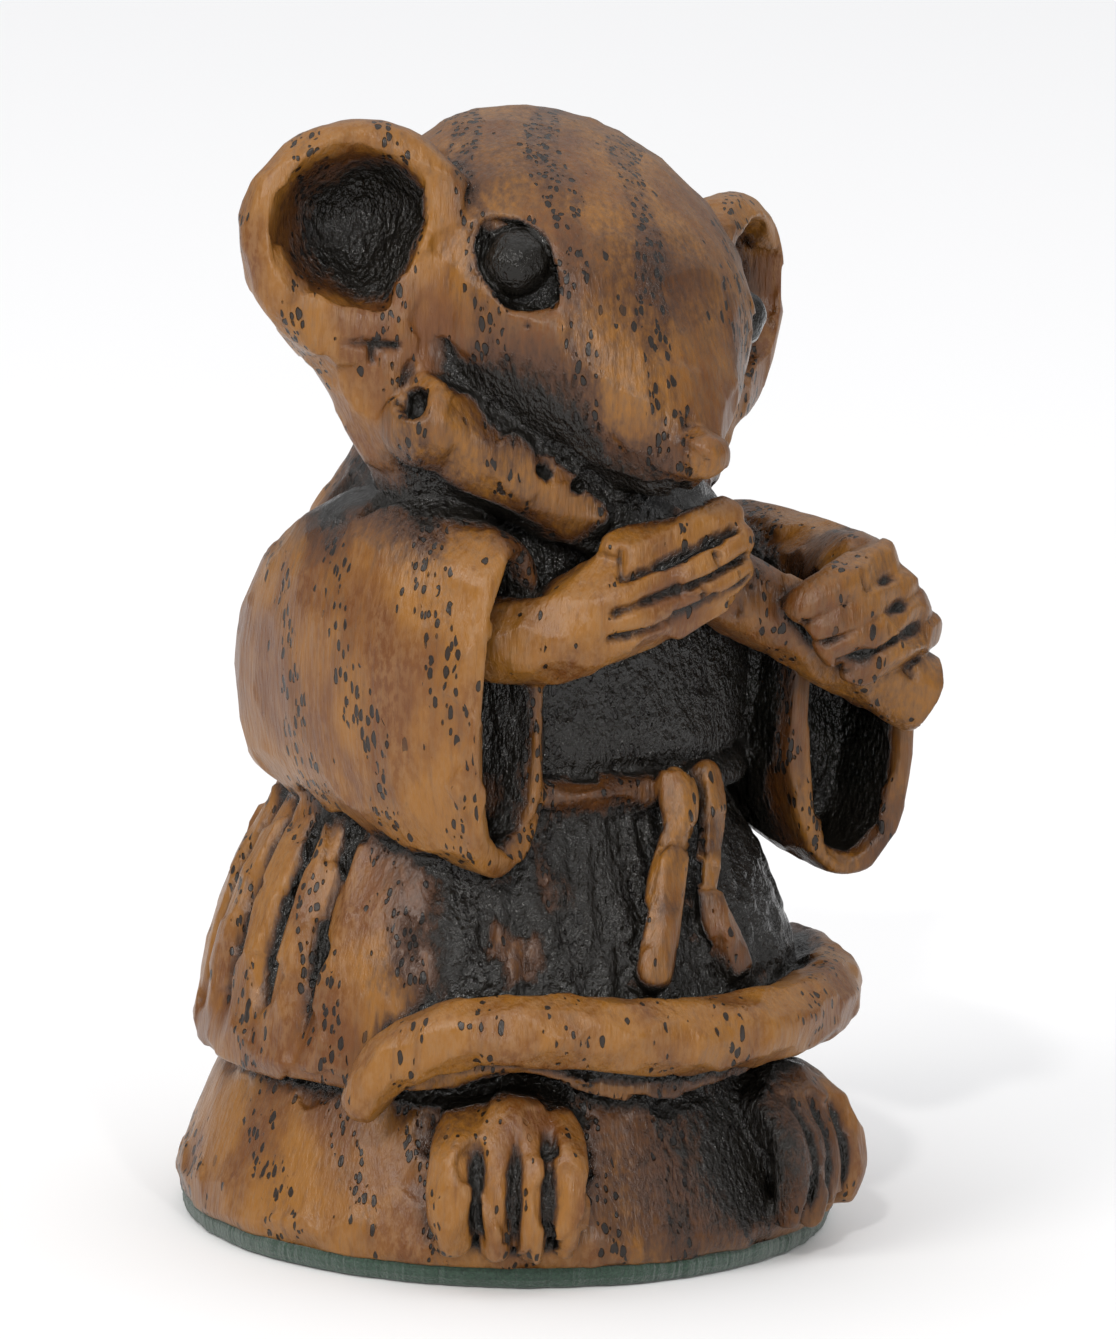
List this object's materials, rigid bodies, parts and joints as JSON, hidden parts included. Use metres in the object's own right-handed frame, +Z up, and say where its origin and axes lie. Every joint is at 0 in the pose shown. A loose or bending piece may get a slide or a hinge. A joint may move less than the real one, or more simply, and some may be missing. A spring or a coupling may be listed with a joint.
{
  "type": "mouse figurine",
  "caption": "Small cast figurine of a robed mouse playing a cross flute, standing on a round base with felt under it.",
  "frame": {"origin": "centre of the round felt underside, where the figurine rests", "axes": "+Z up, -Y the way the figure faces, +X towards the figure's left hand"},
  "size_m": [0.0469, 0.0452, 0.0732],
  "materials": {
    "stained_resin": "cast resin stained honey brown like old oak, black in the recesses, waxed",
    "green_felt": "thin wool felt"
  },
  "bodies": {
    "root": {"mouse_figure": "stained_resin", "felt_pad": "green_felt"}
  },
  "joints": []
}
